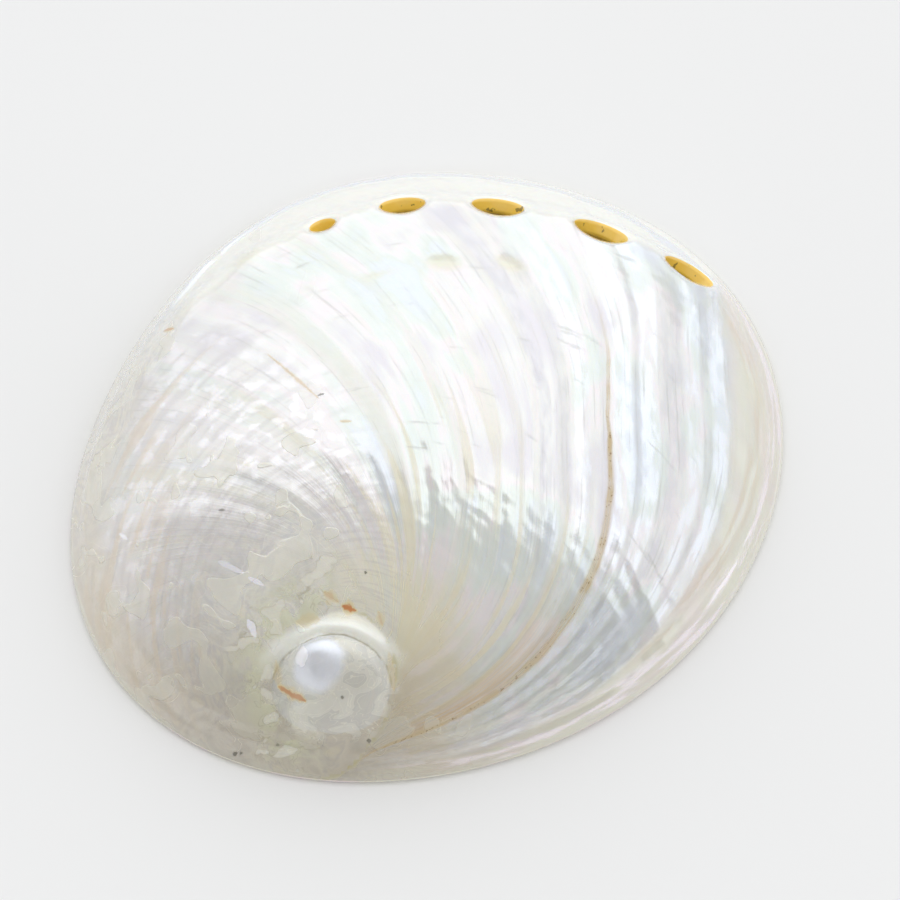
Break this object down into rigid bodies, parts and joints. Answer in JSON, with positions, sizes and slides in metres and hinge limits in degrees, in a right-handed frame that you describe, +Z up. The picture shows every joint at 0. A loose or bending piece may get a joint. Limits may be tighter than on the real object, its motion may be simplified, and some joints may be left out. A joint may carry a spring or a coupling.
{
  "type": "abalone shell",
  "caption": "Polished abalone shell: an ear-shaped nacre bowl, open underneath, with a low spire and a row of breathing holes along one side.",
  "frame": {"origin": "under the crest, on the plane the rim rests on, at the middle of the outline", "axes": "+X along the long axis towards the growing lip, +Z up out of the back of the shell; the holes lie on the +Y side"},
  "size_m": [0.13, 0.1123, 0.032],
  "materials": {
    "nacre": "polished mother-of-pearl"
  },
  "bodies": {
    "root": {"shell": "nacre"}
  },
  "joints": []
}
